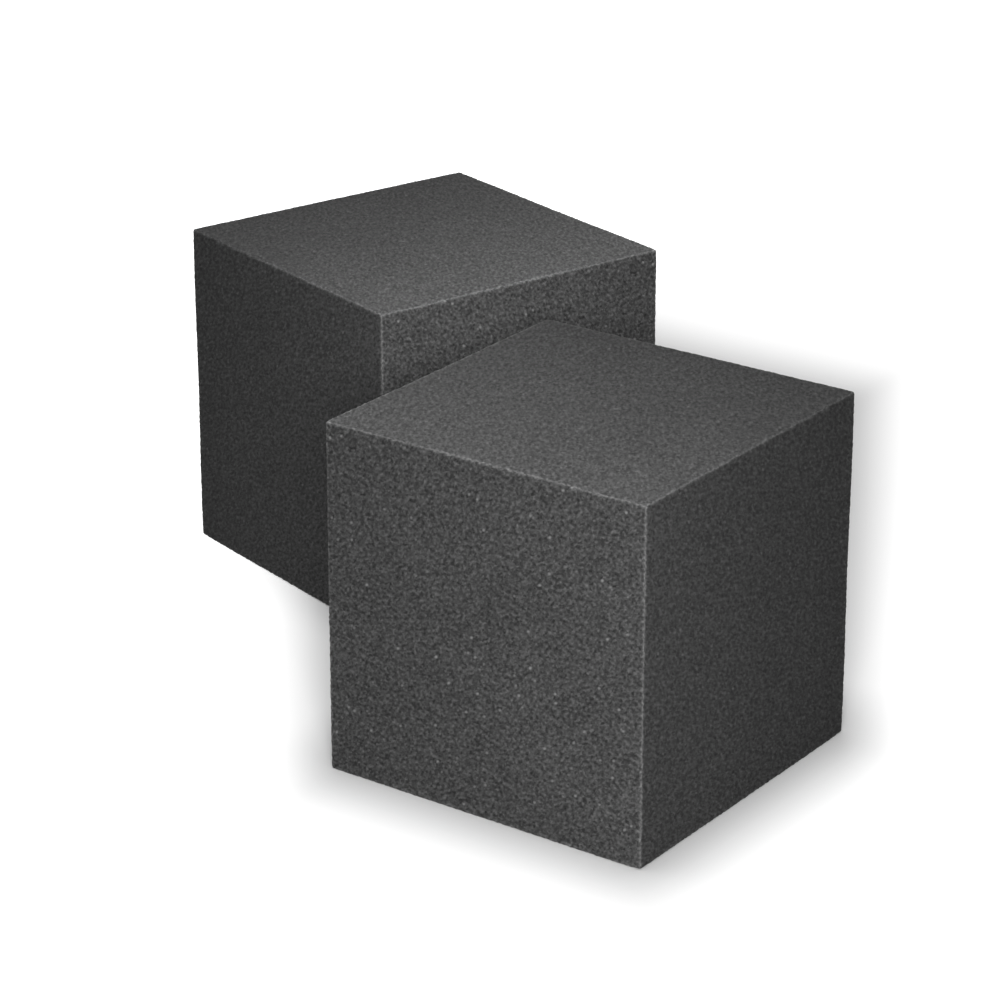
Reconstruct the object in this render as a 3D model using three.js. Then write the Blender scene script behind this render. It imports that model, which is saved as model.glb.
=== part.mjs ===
// Corner bass trap: two equal cubes of solid open-cell acoustic foam, standing loose on a surface.
// Lengths are in millimetres and +Z is up. The frame is square to the front block, whose wide face
// in view looks along -Y, and the origin is the middle of the pair's footprint, on that surface.

import * as THREE from 'three';
import { mergeVertices } from 'three/addons/utils/BufferGeometryUtils.js';

// Driving dimensions: each block is cut as a cube
const blockEdge = 304.8;

// The arrises are rounded by a radius that wanders along the saw cut and grows where corners wear
const arrisRadius = 1.3;
const arrisWander = 0.4;
const wanderLength = 120;
const cornerWear = 0.8;
const cornerWearReach = 10;

// A nick in the upper arris of the wide face, measured from that arris's outer end
const nickFromEnd = 122;
const nickDepth = 2.2;
const nickReach = 7;

// How the rear block stands: its gap to the front block's back corner, square to its wide face, how
// far its own near corner stands forward of that corner, and the angle that it is turned through
const pairGap = 93;
const rearLead = 108;
const rearTurnDegrees = 72.5;

// Facets: steps across half an arris, along a plain run of a face, and over the nick
const arrisSteps = 3;
const faceSteps = 6;
const nickSteps = 6;

// The wandering radius is a sum of two waves, the second one finer and weaker
const fineWaveRatio = 2.7;
const fineWaveShare = 0.4;
const waveLeanShares = { x: 1, y: 0.62, z: 0.81 };

// The finish of the cut foam
const foamColour = 0x525252;
const foamRoughness = 0.97;

const half = blockEdge / 2;
const wholeTurn = Math.PI * 2;
const halfArrisAngle = Math.PI / 4;

const foam = new THREE.MeshStandardMaterial({
  color: foamColour,
  roughness: foamRoughness,
  metalness: 0,
});

// Evenly spaced places from one end of a run to the other, without the last one
function spread(from, to, steps) {
  return Array.from({ length: steps }, (_, i) => from + ((to - from) * i) / steps);
}

// Places along one edge of the block, from its lower end to its upper end, with the arrises' steps
// before and after them. A run past the nick is stepped finely there.
function placesAlong(nickPlace) {
  if (nickPlace === undefined) {
    return [...spread(-half, half, faceSteps), half];
  }
  return [
    ...spread(-half, nickPlace - nickReach, faceSteps),
    ...spread(nickPlace - nickReach, nickPlace + nickReach, nickSteps),
    ...spread(nickPlace + nickReach, half, faceSteps),
    half,
  ];
}

// One axis of the block's grid: for each station, the place along the flat part of the face and the
// lean of the surface there, which is 0 on the flat part and -1 or 1 at the far side of an arris
function gridAxis(places) {
  const leans = spread(1, 0, arrisSteps).map((share) => Math.tan(share * halfArrisAngle));
  return [
    ...leans.map((lean) => ({ place: -half, lean: -lean })),
    ...places.map((place) => ({ place, lean: 0 })),
    ...leans.reverse().map((lean) => ({ place: half, lean })),
  ];
}

// A smooth bump that is 1 at its middle and has faded out some way past its reach
function bump(distance, reach) {
  return Math.exp(-((distance / reach) ** 2));
}

// The arris radius at a point of the sharp cube. The hand is -1 on the mirrored block.
function radiusAt(point, hand, nick) {
  const lean = new THREE.Vector3(hand * waveLeanShares.x, waveLeanShares.y, waveLeanShares.z);
  const phase = (wholeTurn * lean.dot(point)) / wanderLength;
  const wave = Math.sin(phase) + fineWaveShare * Math.sin(phase * fineWaveRatio);
  const corner = new THREE.Vector3(
    half - Math.abs(point.x),
    half - Math.abs(point.y),
    half - Math.abs(point.z),
  );
  return (
    arrisRadius +
    arrisWander * wave +
    cornerWear * bump(corner.length(), cornerWearReach) +
    nickDepth * bump(point.distanceTo(nick), nickReach / 2)
  );
}

// The foam block, centred on its own origin. Every face stays flat up to its rounded arrises.
function blockGeometry(hand) {
  const nick = new THREE.Vector3(hand * (nickFromEnd - half), -half, half);
  const plain = gridAxis(placesAlong());
  const nicked = gridAxis(placesAlong(nick.x));
  const axes = { x: nicked, y: plain, z: plain };
  const last = { x: nicked.length - 1, y: plain.length - 1, z: plain.length - 1 };

  const grid = new THREE.BoxGeometry(last.x, last.y, last.z, last.x, last.y, last.z);
  const vertices = grid.getAttribute('position');
  const vertex = new THREE.Vector3();
  for (let i = 0; i < vertices.count; i += 1) {
    vertex.fromBufferAttribute(vertices, i);
    const station = {};
    for (const axis of ['x', 'y', 'z']) {
      station[axis] = axes[axis][Math.round(vertex[axis] + last[axis] / 2)];
    }
    const sharp = new THREE.Vector3(station.x.place, station.y.place, station.z.place);
    const radius = radiusAt(sharp, hand, nick);
    const outward = new THREE.Vector3(station.x.lean, station.y.lean, station.z.lean).normalize();
    vertex.copy(sharp).multiplyScalar((half - radius) / half).addScaledVector(outward, radius);
    vertices.setXYZ(i, vertex.x, vertex.y, vertex.z);
  }
  grid.deleteAttribute('normal');
  grid.deleteAttribute('uv');
  const geometry = mergeVertices(grid);
  geometry.computeVertexNormals();
  return geometry;
}

// A block that stands on the surface, with its own upright axis at the given place
function standingBlock(name, hand, place, turn) {
  const block = new THREE.Mesh(blockGeometry(hand), foam.clone());
  block.name = name;
  block.position.set(place.x, place.y, half);
  block.rotation.z = turn;
  return block;
}

// The rear block is set from the back corner of the front block, which stands at the start
const backCorner = new THREE.Vector2(-half, half);
const turn = THREE.MathUtils.degToRad(rearTurnDegrees);
const alongWideFace = new THREE.Vector2(Math.cos(turn), Math.sin(turn));
const intoRearBlock = new THREE.Vector2(-Math.sin(turn), Math.cos(turn));
const rearCentre = backCorner
  .clone()
  .addScaledVector(intoRearBlock, pairGap + half)
  .addScaledVector(alongWideFace, half - rearLead);

const pair = new THREE.Group();
pair.add(standingBlock('front_block', 1, new THREE.Vector2(), 0));
pair.add(standingBlock('rear_block', -1, rearCentre, turn));

// The origin is the middle of the pair's footprint
pair.updateMatrixWorld(true);
const middle = new THREE.Box3().setFromObject(pair, true).getCenter(new THREE.Vector3());
pair.position.set(-middle.x, -middle.y, 0);

export default pair;
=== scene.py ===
"""Two cubes of charcoal open-cell foam, a pair of corner bass traps, on a pale floor.

Everything is in metres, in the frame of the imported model. MM turns a size in millimetres into it.
"""

import math

import bmesh
import bpy
import numpy as np
from mathutils import Euler, Matrix, Vector
from mathutils.geometry import convex_hull_2d


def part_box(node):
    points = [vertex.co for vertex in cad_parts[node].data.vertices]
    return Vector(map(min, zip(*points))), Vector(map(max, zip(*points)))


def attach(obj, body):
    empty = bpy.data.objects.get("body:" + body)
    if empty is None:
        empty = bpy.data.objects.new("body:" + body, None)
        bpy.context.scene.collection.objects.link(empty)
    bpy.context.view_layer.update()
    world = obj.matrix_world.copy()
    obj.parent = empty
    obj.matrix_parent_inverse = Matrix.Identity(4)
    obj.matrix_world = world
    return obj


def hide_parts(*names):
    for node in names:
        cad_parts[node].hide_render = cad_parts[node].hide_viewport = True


MM = 0.001

# The blocks: the rear one is turned, and its wear is the mirror image of the front one's
REAR_TURN = math.radians(72.5)
HANDS = {"front_block": 1, "rear_block": -1}
TURNS = {"front_block": 0.0, "rear_block": REAR_TURN}
WEAR_SEED = 11

# The mesh of a block: squares along one edge, the finer cuts in the outermost ring of squares on
# each side, and how far in from the arris the lines of that ring are looked for, in squares
SQUARES = 102
RING_CUTS = 2
RING_REACH = 1.2

# The UV map: one patch for each side of the block, and how much of its place a patch fills
PATCHES_ACROSS = 3
PATCHES_UP = 2
PATCH_SHARE = 0.98

# The rounded, worn arrises. The nick is measured from the outer end of its arris.
ARRIS_RADIUS = 1.2 * MM
ARRIS_WANDER = 0.4 * MM
ARRIS_WANDER_LENGTH = 55 * MM
CORNER_WEAR = 0.7 * MM
CORNER_WEAR_REACH = 9 * MM
NICK_FROM_END = 122 * MM
NICK_DEPTH = 2.2 * MM
NICK_REACH = 3.5 * MM

# How the saw cut wanders, how rough the cut cells stand, and how the arrises fray
FACE_WANDER = 0.7 * MM
FACE_WANDER_LENGTH = 110 * MM
RELIEF = 0.16 * MM
RELIEF_LENGTH = 3.2 * MM
FRAY = 0.45 * MM
FRAY_LENGTH = 2.1 * MM
FRAY_REACH = 1.6 * MM

# The pale fringe along the arrises, partly frayed foam and partly a painted highlight: how far it
# reaches, how much paler the painted highlight makes it on the uprights and on the upper arrises at the
# back, and how far from the arris it is over
PALE_REACH = 1.7 * MM
UPRIGHT_HIGHLIGHT = 0.5
UPPER_BACK_HIGHLIGHT = 1.4
PALE_END = 3 * PALE_REACH

# The grain of the faces that look along x, y and z: how far the rise of the foam has drawn out the
# cells and the pores, at what slant on the face, and how openly the saw cut them. The grain is turned
# against the noise's own lattice, whose lines would show.
CELL_DRAWS = (2.2, 1.38, 2.7)
PORE_DRAWS = (1.5, 1.3, 1.55)
CELL_SLANTS = (math.radians(63.0), math.radians(-52.0), math.radians(36.0))
OPEN_CUTS = (0.8, 1.02, 0.78)
GRAIN_TURN = math.radians(27.0)

# The mottle of the cut foam: how many cells, clumps and clouds lie along a metre, their detail, and
# how strongly they show. The cells' scale is even, to lay each side's slice on the noise's lattice.
CELL_SCALE = 386.0
CELL_DETAIL = 1.0
CLUMP_SCALE = 130.0
CLUMP_DETAIL = 1.0
CLUMP_SHARE = 0.08
CLOUD_SCALE = 14.0
CLOUD_DETAIL = 3.0
CLOUD_SHARE = 0.15
CELL_CONTRAST = 2.3

# The pores, with shade painted into them: how many lie along a metre, and how a pore's chance number
# makes a few of them darker
PORE_SCALE = 520.0
PORE_POWER = 2.0
PORE_MEAN = 0.33
PORE_SHARE = 0.35

# The painted glints, highlights painted into the colour: places for one along a metre, the share of
# them that shine, how brightly, by which power of the open cut, and between which distances from its
# middle a glint fades out, in places
GLINT_SCALE = 170.0
GLINT_SHARE = 0.3
GLINT_TONE = 2.5
GLINT_POWER = 4.0
GLINT_FADE = (0.05, 0.3)

# The tone of the foam and of the pale fringe, which is partly frayed foam and partly a painted
# highlight.
# The cells break the fringe into beads: as their noise rises over BEAD_CELLS, the strength of the
# fringe rises over BEAD_TONES.
FOAM_TONE = 0.0625
PALE_TONE = 0.8
BEAD_CELLS = (-0.15, 0.2)
BEAD_TONES = (0.5, 1.4)

# Painted light and shade on the sides: the tone of the faces that look along x, y and z, how much
# painted shade darkens them from their middle to the back, and how much painted light brightens them
# from their middle to the side of the near corner
PAINTED_SIDE_TONES = (0.95, 1.22, 1.0)
PAINTED_SHADE_BACKWARD = (0.25, 0.0, 0.42)
PAINTED_LIGHT_SIDEWAYS = (0.0, 0.12, 0.0)

# The surface of the foam
FOAM_ROUGHNESS = 0.97
FOAM_SPECULAR = 0.15
BUMP_STRENGTH = 0.5
BUMP_DEPTH = 1.0 * MM

# The camera: its place from the front block's near foot, in block edges, and how it looks
CAMERA_PLACE_SHARES = (4.338, -6.613, 4.212)
CAMERA_AZIMUTH = math.radians(35.85)
CAMERA_PITCH = math.radians(22.02)
CAMERA_LENS_MM = 126.0
CAMERA_SIGHT = 100.0

# The floor, its tone as a thing that throws light back, and its tone as the camera sees it
FLOOR_SIZE = 14.0
FLOOR_DROP = 0.2 * MM
FLOOR_TONE = 0.35
SEEN_FLOOR_TONE = 0.8

# Where the seen floor grows white, from inside the shadow's edge outwards: first up to the share
# SHADOW_WHITE of full white, then the rest of the way
SHADOW_FADE = (-12 * MM, 50 * MM)
WHITE_FADE = (30 * MM, 130 * MM)
SHADOW_WHITE = 0.42
SHADOW_ROUNDING = 20 * MM

# The light: how much the white room gives, and for each lamp its power in watts, its size, its
# distance from what it aims at, its turn from the camera's azimuth and its elevation. The side lamp
# aims at the rear block's top, and the others at the middle of the pair.
WORLD_FILL = 0.02
MIDDLE_AIM = Vector((0, 0, 200 * MM))
KEY_POWER = 59.5
KEY_SIZE = 0.9
KEY_DISTANCE = 3.05
KEY_TURN = math.radians(0.2)
KEY_ELEVATION = math.radians(21.3)
OVERHEAD_POWER = 37.2
OVERHEAD_SIZE = 1.0
OVERHEAD_DISTANCE = 2.5
OVERHEAD_TURN = 0.0
OVERHEAD_ELEVATION = math.radians(83.0)
SIDE_POWER = 0.165
SIDE_SIZE = 0.24
SIDE_DISTANCE = 0.8
SIDE_TURN = math.radians(28.0)
SIDE_ELEVATION = math.radians(25.0)
SIDE_SPREAD = math.radians(60.0)
BACK_POWER = 26.0
BACK_SIZE = 1.2
BACK_DISTANCE = 3.0
BACK_TURN = math.radians(180.0)
BACK_ELEVATION = math.radians(8.0)


def value_noise(points, length, seed):
    """Smooth random values from -1 to 1 at the points, on a lattice of that length."""
    places = points / length
    low = np.floor(places).astype(int)
    share = places - low
    share = share * share * (3 - 2 * share)
    low -= low.min(axis=0)
    lattice = np.random.default_rng(seed).uniform(-1, 1, tuple(low.max(axis=0) + 2))
    total = np.zeros(len(points))
    for corner in np.ndindex(2, 2, 2):
        at = low + corner
        weight = np.prod(np.where(corner, share, 1 - share), axis=1)
        total += weight * lattice[at[:, 0], at[:, 1], at[:, 2]]
    return total


def fade(distance, reach):
    """1 at no distance, fading out smoothly past the reach."""
    return np.exp(-((distance / reach) ** 2))


def sharp_cube(edge):
    """A closed cube surface of squares, with the outermost ring of them on each side split finer."""
    mesh = bmesh.new()
    bmesh.ops.create_cube(mesh, size=edge)
    bmesh.ops.subdivide_edges(mesh, edges=mesh.edges[:], cuts=SQUARES - 1, use_grid_fill=True)
    ring = edge / 2 - RING_REACH * edge / SQUARES
    fine = []
    for line in mesh.edges:
        across = [sorted(abs(c) for c in vertex.co) for vertex in line.verts]
        if all(places[1] > ring for places in across):
            fine.append(line)
    bmesh.ops.subdivide_edges(mesh, edges=fine, cuts=RING_CUTS, use_grid_fill=True)
    bmesh.ops.triangulate(mesh, faces=[face for face in mesh.faces if len(face.verts) > 4])
    return mesh


def fringe_highlight(depth, mirrored, half):
    """How much the painted highlight strengthens the pale fringe at each point, with 1 for a plain
    arris.
    """
    # Painted highlight: the uprights and the upper arrises at the back are painted paler
    upright = np.where(depth[:, 2] >= depth.max(axis=1), 1 + UPRIGHT_HIGHLIGHT, 1)
    near_arris = half - PALE_END
    backward = np.maximum(-mirrored[:, 0], mirrored[:, 1])
    upper_back = np.minimum(backward, mirrored[:, 2]) > near_arris
    return upright * np.where(upper_back, 1 + UPPER_BACK_HIGHLIGHT, 1)


def shape_block(points, edge, hand):
    """Moves the sharp cube's points to the worn block. Returns them and how pale each one is."""
    half = edge / 2
    nick = np.array([hand * (NICK_FROM_END - half), -half, half])
    mirrored = points * [hand, 1, 1]
    depth = half - abs(points)
    corner = np.linalg.norm(depth, axis=1)
    radius = (
        ARRIS_RADIUS
        + ARRIS_WANDER * value_noise(mirrored, ARRIS_WANDER_LENGTH, WEAR_SEED)
        + CORNER_WEAR * fade(corner, CORNER_WEAR_REACH)
        + NICK_DEPTH * fade(np.linalg.norm(points - nick, axis=1), NICK_REACH)
    )[:, None]
    core = np.clip(points, radius - half, half - radius)
    lean = (points - core) / radius
    lean = np.sign(lean) * np.tan(abs(lean) * math.pi / 4)
    outward = lean / np.linalg.norm(lean, axis=1)[:, None]
    arris = np.sort(depth, axis=1)[:, 1]

    wander = FACE_WANDER * value_noise(mirrored, FACE_WANDER_LENGTH, WEAR_SEED + 1)
    relief = RELIEF * value_noise(mirrored, RELIEF_LENGTH, WEAR_SEED + 2)
    fray = FRAY * fade(arris, FRAY_REACH) * value_noise(mirrored, FRAY_LENGTH, WEAR_SEED + 3)
    moved = core + outward * (radius[:, 0] + wander + relief + fray)[:, None]
    # How pale each point is: partly the frayed arris, partly a painted highlight
    return moved, fade(arris, PALE_REACH) * fringe_highlight(depth, mirrored, half)


def grain_frames(draws):
    """For faces that look along x, y and z: the two directions that the grain is measured in."""
    frames = []
    for axis, (draw, slant) in enumerate(zip(draws, CELL_SLANTS)):
        level, rising = np.eye(3)[[i for i in range(3) if i != axis]]
        across = math.cos(slant) * level + math.sin(slant) * rising
        along = math.cos(slant) * rising - math.sin(slant) * level
        frames.append([across, along / draw])
    return np.array(frames)


def corner_facts(data, sharp, hand):
    """Each face corner's place on the sharp cube, mirrored by hand, and its side of the cube.

    The side is the axis that its face looks along and, as 1 or -1, which way.
    """
    corner_points = np.empty(len(data.loops), int)
    data.loops.foreach_get("vertex_index", corner_points)
    starts = np.empty(len(data.polygons), int)
    data.polygons.foreach_get("loop_start", starts)
    totals = np.empty(len(data.polygons), int)
    data.polygons.foreach_get("loop_total", totals)
    places = sharp[corner_points] * [hand, 1, 1]
    middles = np.add.reduceat(places, starts) / totals[:, None]
    axis = abs(middles).argmax(axis=1)
    way = np.sign(middles[np.arange(len(axis)), axis])
    return places, np.repeat(axis, totals), np.repeat(way, totals)


def store(data, name, values):
    """Keeps one number, or one vector, for each face corner under that name."""
    kind, field = ("FLOAT_VECTOR", "vector") if values.ndim > 1 else ("FLOAT", "value")
    data.attributes.new(name, kind, "CORNER").data.foreach_set(field, values.ravel())


def add_grain(data, places, axis, way):
    """Stores each face corner's place in the grain, how openly it was cut and its painted light and
    shade.
    """
    turn = np.array(Matrix.Rotation(GRAIN_TURN, 2))
    for name, draws in (("cell_grain", CELL_DRAWS), ("pore_grain", PORE_DRAWS)):
        grain = np.zeros((len(places), 3))
        grain[:, :2] = np.einsum("cij,cj->ci", grain_frames(draws)[axis], places) @ turn
        grain[:, 2] = (axis + 0.5) * way
        store(data, name, grain)
    store(data, "open_cut", np.array(OPEN_CUTS)[axis])
    # Painted light and shade: each side painted lighter or darker, darker to the back and lighter
    # sideways
    shares = places / abs(places).max()
    painted_light_and_shade = np.array(PAINTED_SIDE_TONES)[axis]
    painted_light_and_shade += np.array(PAINTED_LIGHT_SIDEWAYS)[axis] * shares[:, 0]
    painted_light_and_shade -= np.array(PAINTED_SHADE_BACKWARD)[axis] * shares[:, 1]
    store(data, "painted_light_and_shade", painted_light_and_shade)


def add_unwrap(data, places, axis, way):
    """A UV map with one patch for each side: a column for each axis and a row for each way."""
    across = places[:, 0].copy()
    across[axis == 0] = places[axis == 0, 1]
    up = places[:, 2].copy()
    up[axis == 2] = places[axis == 2, 1]
    edge = np.ptp(places)
    unwrapped = np.stack([
        (axis + 0.5 + PATCH_SHARE * across / edge) / PATCHES_ACROSS,
        (way / 2 + 1 + PATCH_SHARE * up / edge) / PATCHES_UP,
    ], axis=1)
    data.uv_layers.new(name="OFBake").data.foreach_set("uv", unwrapped.ravel())


def foam_mesh(name):
    """The closed mesh of one block, where its CAD node stands."""
    low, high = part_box(name)
    edge = high.z - low.z
    mesh = sharp_cube(edge)
    data = bpy.data.meshes.new(name + "_foam")
    mesh.to_mesh(data)
    mesh.free()

    points = np.empty(len(data.vertices) * 3)
    data.vertices.foreach_get("co", points)
    sharp = points.reshape(-1, 3)
    facts = corner_facts(data, sharp, HANDS[name])
    add_grain(data, *facts)
    add_unwrap(data, *facts)
    points, pale = shape_block(sharp, edge, HANDS[name])
    turn = np.array(Matrix.Rotation(TURNS[name], 3, "Z"))
    points = points @ turn.T + np.array((low + high) / 2)
    points[:, 2] = np.maximum(points[:, 2], 0)
    data.vertices.foreach_set("co", points.ravel())
    data.attributes.new("pale", "FLOAT", "POINT").data.foreach_set("value", pale)
    data.polygons.foreach_set("use_smooth", np.ones(len(data.polygons), bool))
    data.update()
    return data


def foam_block(name, material):
    """One block of foam, in place of its CAD node."""
    data = foam_mesh(name)
    block = bpy.data.objects.new(name + "_foam", data)
    bpy.context.scene.collection.objects.link(block)
    data.materials.append(material)
    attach(block, "root")
    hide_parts(name)


class Graph:
    """A short way to add and link the nodes of one material or world."""

    def __init__(self, owner):
        owner.use_nodes = True
        self.tree = owner.node_tree
        self.tree.nodes.clear()

    def node(self, kind, links=None, **settings):
        """A new node, with its settings made and its sockets linked or set."""
        made = self.tree.nodes.new("ShaderNode" + kind)
        for key, value in settings.items():
            setattr(made, key, value)
        for socket, value in (links or {}).items():
            target = made.inputs[socket]
            if isinstance(value, bpy.types.NodeSocket):
                self.tree.links.new(value, target)
            else:
                target.default_value = value
        return made

    def stored(self, name, output="Fac"):
        """What the mesh stores under that name."""
        return self.node("Attribute", attribute_name=name).outputs[output]

    def math(self, operation, first, second=0.0, third=0.0):
        """The result of one Math node."""
        return self.node("Math", {0: first, 1: second, 2: third}, operation=operation).outputs[0]

    def span(self, value, low, high, to_low, to_high):
        """The value carried smoothly from one range into another, and held at its ends."""
        links = {"Value": value, "From Min": low, "From Max": high, "To Min": to_low, "To Max": to_high}
        return self.node("MapRange", links, interpolation_type="SMOOTHSTEP").outputs["Result"]

    def seen_directly(self):
        """1 for what the camera sees, itself or by gloss or through glass, and 0 otherwise."""
        paths = self.node("LightPath").outputs
        seen = self.math("MAXIMUM", paths["Is Camera Ray"], paths["Is Glossy Ray"])
        return self.math("MAXIMUM", seen, paths["Is Transmission Ray"])


def noise(graph, grain, scale, detail, share=1.0):
    """Noise about 0 along the grain, times its share."""
    made = graph.node("TexNoise", {"Vector": grain, "Scale": scale, "Detail": detail})
    return graph.math("MULTIPLY", graph.math("SUBTRACT", made.outputs["Fac"], 0.5), share)


def shaded_pores(graph, grain):
    """Painted shade for each pore by chance, about 0 on average, with a few pores much darker."""
    pores = graph.node("TexVoronoi", {"Vector": grain, "Scale": PORE_SCALE}, feature="F1")
    chance = graph.node("SeparateColor", {"Color": pores.outputs["Color"]}).outputs["Red"]
    tone = graph.math("SUBTRACT", PORE_MEAN, graph.math("POWER", chance, PORE_POWER))
    return graph.math("MULTIPLY", tone, PORE_SHARE)


def glints(graph, grain, open_cut):
    """Sparse glints painted into the colour as bright spots, brighter where the saw cut the cells
    openly.
    """
    sparks = graph.node("TexVoronoi", {"Vector": grain, "Scale": GLINT_SCALE}, feature="F1")
    luck = graph.node("SeparateColor", {"Color": sparks.outputs["Color"]}).outputs["Green"]
    lucky = graph.span(luck, 1 - GLINT_SHARE, 1.0, 0.0, 1.0)
    core = graph.span(sparks.outputs["Distance"], *GLINT_FADE, 1.0, 0.0)
    shine = graph.math("MULTIPLY", graph.math("POWER", open_cut, GLINT_POWER), GLINT_TONE)
    return graph.math("MULTIPLY", graph.math("MULTIPLY", lucky, core), shine)


def foam_material():
    """Charcoal open-cell foam: dark pores, paler struts, sparse glints, frayed pale arrises.

    Painted in: shade in the pores, the glints, an arris highlight and the light and shade on the sides.
    """
    material = bpy.data.materials.new("charcoal_foam")
    graph = Graph(material)
    cell_grain = graph.stored("cell_grain", "Vector")
    pore_grain = graph.stored("pore_grain", "Vector")
    open_cut = graph.stored("open_cut")

    cells = noise(graph, cell_grain, CELL_SCALE, CELL_DETAIL)
    clumps = noise(graph, pore_grain, CLUMP_SCALE, CLUMP_DETAIL, CLUMP_SHARE)
    clouds = noise(graph, pore_grain, CLOUD_SCALE, CLOUD_DETAIL, CLOUD_SHARE)
    # Painted shade in the pores
    pores = shaded_pores(graph, pore_grain)
    mottle = graph.math("ADD", graph.math("ADD", cells, clumps), graph.math("ADD", clouds, pores))
    depth = graph.math("MULTIPLY", open_cut, CELL_CONTRAST)
    tone = graph.math("EXPONENT", graph.math("MULTIPLY", mottle, depth))
    # Painted glints: highlights added to the foam's tone
    tone = graph.math("ADD", tone, glints(graph, pore_grain, open_cut))

    beads = graph.span(cells, *BEAD_CELLS, *BEAD_TONES)
    # The pale fringe along the arrises, partly frayed foam and partly a painted highlight
    fringe = graph.math("MULTIPLY", graph.stored("pale"), beads)
    tone = graph.math("ADD", tone, graph.math("MULTIPLY", fringe, PALE_TONE))
    # The painted light and shade lighten or darken the foam's tone
    grey = graph.math("MULTIPLY", graph.math("MULTIPLY", tone, graph.stored("painted_light_and_shade")), FOAM_TONE)
    tint = graph.node("CombineColor", {"Red": grey, "Green": grey, "Blue": grey}).outputs["Color"]

    height = graph.math("MULTIPLY", mottle, open_cut)
    bump = graph.node("Bump", {"Height": height, "Strength": BUMP_STRENGTH, "Distance": BUMP_DEPTH})
    surface = graph.node("BsdfPrincipled", {
        "Base Color": tint,
        "Roughness": FOAM_ROUGHNESS,
        "Specular IOR Level": FOAM_SPECULAR,
        "Normal": bump.outputs["Normal"],
    })
    graph.node("OutputMaterial", {"Surface": surface.outputs["BSDF"]})
    return material


def shadow_edges(lamp):
    """The edges of the front block's shadow from a lamp there, on the floor as flat as it sees it.

    For each edge: the way straight out from it, and how far out along that way it lies.
    """
    low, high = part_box("front_block")
    foot = [Vector((x, y, 0)) for x in (low.x, high.x) for y in (low.y, high.y)]
    under = Vector((lamp.x, lamp.y, 0))
    thrown = [under + (corner - under) * lamp.z / (lamp.z - high.z) for corner in foot]
    away = ((low + high) / 2 - lamp).normalized()
    level = Vector((away.x, away.y, 0)).normalized()

    def flat(place):
        return place - level * place.dot(level) * (1 + away.z)

    corners = [flat(corner) for corner in foot + thrown]
    middle = sum(corners, Vector()) / len(corners)
    hull = [corners[i] for i in convex_hull_2d([corner.xy for corner in corners])]
    edges = []
    for first, second in zip(hull, hull[1:] + hull[:1]):
        out = (second - first).cross(Vector((0, 0, 1))).normalized()
        if out.dot(first - middle) < 0:
            out = -out
        edges.append((flat(out), out.dot(first)))
    return edges


def outside_shadow(graph, lamp):
    """How far outside the front block's shadow from that lamp a place on the floor lies."""
    place = graph.node("NewGeometry").outputs["Position"]
    gaps = []
    for out, reach in shadow_edges(lamp):
        along = graph.node("VectorMath", {0: place, 1: out}, operation="DOT_PRODUCT")
        gaps.append(graph.math("SUBTRACT", along.outputs["Value"], reach))
    outside = gaps[0]
    for gap in gaps[1:]:
        outside = graph.math("SMOOTH_MAX", outside, gap, SHADOW_ROUNDING)
    return outside


def floor_material(lamp):
    """A pale floor that the camera sees as white, but for the front block's soft shadow."""
    material = bpy.data.materials.new("pale_floor")
    graph = Graph(material)
    outside = outside_shadow(graph, lamp)
    near = graph.span(outside, *SHADOW_FADE, 0.0, SHADOW_WHITE)
    white = graph.math("ADD", near, graph.span(outside, *WHITE_FADE, 0.0, 1 - SHADOW_WHITE))

    plain = graph.node("BsdfDiffuse", {"Color": (FLOOR_TONE, FLOOR_TONE, FLOOR_TONE, 1)})
    seen_tone = (SEEN_FLOOR_TONE, SEEN_FLOOR_TONE, SEEN_FLOOR_TONE, 1)
    lit = graph.node("BsdfDiffuse", {"Color": seen_tone})
    glow = graph.node("Emission", {"Color": (1, 1, 1, 1), "Strength": white})
    seen = graph.node("AddShader", {0: lit.outputs[0], 1: glow.outputs[0]})
    direct = graph.seen_directly()
    mix = graph.node("MixShader", {0: direct, 1: plain.outputs[0], 2: seen.outputs[0]})
    graph.node("OutputMaterial", {"Surface": mix.outputs[0]})
    return material


def add_floor(lamp):
    data = bpy.data.meshes.new("floor")
    reach = FLOOR_SIZE / 2
    corners = [(-reach, -reach), (reach, -reach), (reach, reach), (-reach, reach)]
    data.from_pydata([(x, y, -FLOOR_DROP) for x, y in corners], [], [(0, 1, 2, 3)])
    data.materials.append(floor_material(lamp))
    floor = bpy.data.objects.new("floor", data)
    bpy.context.scene.collection.objects.link(floor)


def add_world():
    """A room that the camera sees as white and that hardly lights the blocks."""
    world = bpy.data.worlds.new("white_room")
    bpy.context.scene.world = world
    graph = Graph(world)
    strength = graph.span(graph.seen_directly(), 0.0, 1.0, WORLD_FILL, 1.0)
    glow = graph.node("Background", {"Color": (1, 1, 1, 1), "Strength": strength})
    graph.node("OutputWorld", {"Surface": glow.outputs[0]})


def lamp_offset(turn, elevation, distance):
    """Where a lamp stands from what it aims at. It is turned from the camera's azimuth."""
    azimuth = CAMERA_AZIMUTH + turn
    flat = math.cos(elevation)
    way = Vector((math.sin(azimuth) * flat, -math.cos(azimuth) * flat, math.sin(elevation)))
    return way * distance


def add_soft_light(name, aim, offset, size, power, spread=math.pi):
    """A round soft light, set off from the place that it aims at."""
    data = bpy.data.lights.new(name, "AREA")
    data.shape = "DISK"
    data.size = size
    data.energy = power
    data.spread = spread
    light = bpy.data.objects.new(name, data)
    light.location = aim + offset
    light.rotation_euler = offset.to_track_quat("Z", "Y").to_euler()
    light.visible_camera = False
    bpy.context.scene.collection.objects.link(light)


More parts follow.
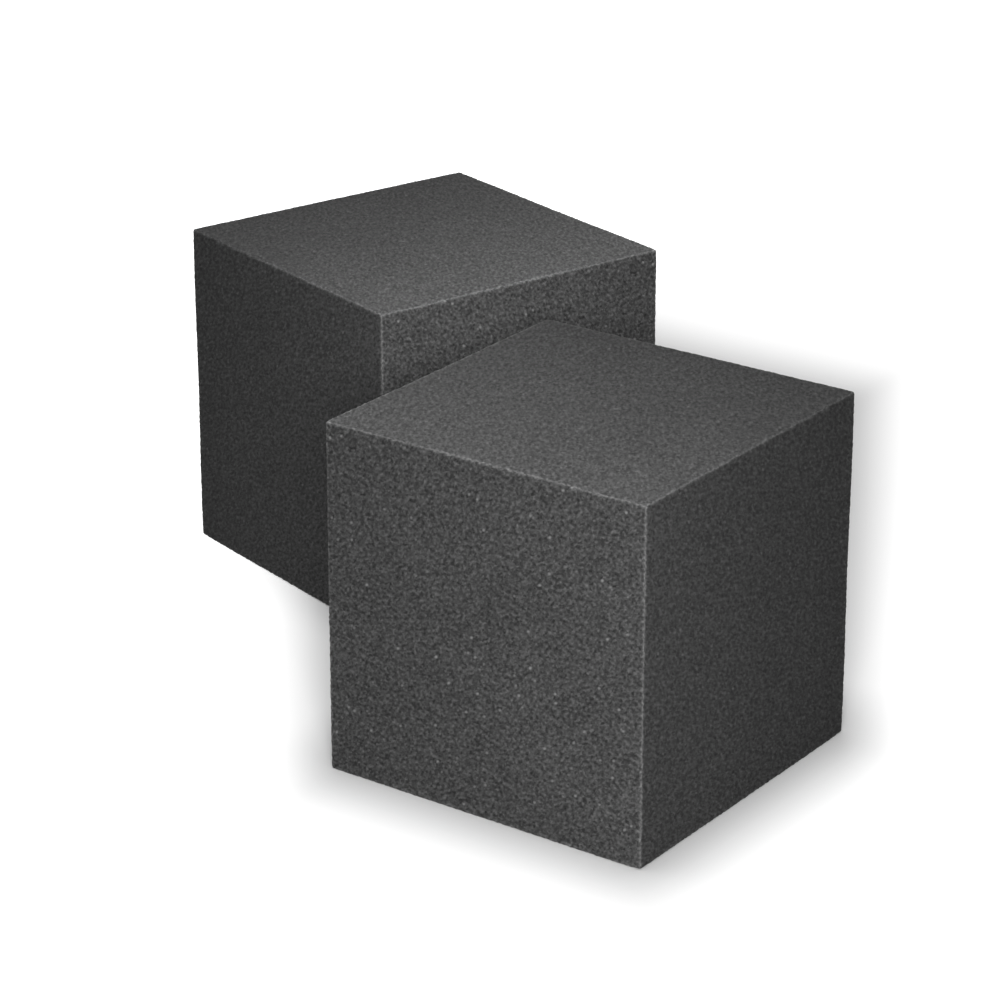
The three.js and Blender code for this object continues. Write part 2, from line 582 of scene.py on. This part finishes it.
def add_lights(key):
    """A key light near the camera, one overhead, a weak one on the rear block and one behind."""
    overhead = lamp_offset(OVERHEAD_TURN, OVERHEAD_ELEVATION, OVERHEAD_DISTANCE)
    side = lamp_offset(SIDE_TURN, SIDE_ELEVATION, SIDE_DISTANCE)
    back = lamp_offset(BACK_TURN, BACK_ELEVATION, BACK_DISTANCE)
    low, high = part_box("rear_block")
    rear_top = Vector(((low.x + high.x) / 2, (low.y + high.y) / 2, high.z))
    add_soft_light("key", MIDDLE_AIM, key, KEY_SIZE, KEY_POWER)
    add_soft_light("overhead", MIDDLE_AIM, overhead, OVERHEAD_SIZE, OVERHEAD_POWER)
    add_soft_light("side", rear_top, side, SIDE_SIZE, SIDE_POWER, SIDE_SPREAD)
    add_soft_light("back", MIDDLE_AIM, back, BACK_SIZE, BACK_POWER)


def add_camera():
    low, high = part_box("front_block")
    near_foot = Vector((high.x, low.y, low.z))
    data = bpy.data.cameras.new("camera")
    data.lens = CAMERA_LENS_MM
    data.clip_end = CAMERA_SIGHT
    camera = bpy.data.objects.new("camera", data)
    camera.location = near_foot + Vector(CAMERA_PLACE_SHARES) * (high.z - low.z)
    camera.rotation_euler = Euler((math.pi / 2 - CAMERA_PITCH, 0, CAMERA_AZIMUTH))
    bpy.context.scene.collection.objects.link(camera)
    bpy.context.scene.camera = camera


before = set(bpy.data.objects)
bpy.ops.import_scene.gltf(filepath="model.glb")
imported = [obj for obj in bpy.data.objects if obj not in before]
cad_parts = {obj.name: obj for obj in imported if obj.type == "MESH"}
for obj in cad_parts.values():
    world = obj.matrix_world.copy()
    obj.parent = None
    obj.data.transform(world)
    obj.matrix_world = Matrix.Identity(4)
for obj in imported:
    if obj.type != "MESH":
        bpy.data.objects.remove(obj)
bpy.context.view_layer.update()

foam = foam_material()
for block_name in HANDS:
    foam_block(block_name, foam)

key_offset = lamp_offset(KEY_TURN, KEY_ELEVATION, KEY_DISTANCE)
add_floor(MIDDLE_AIM + key_offset)
add_world()
add_lights(key_offset)
add_camera()
bpy.context.scene.view_settings.view_transform = "Standard"
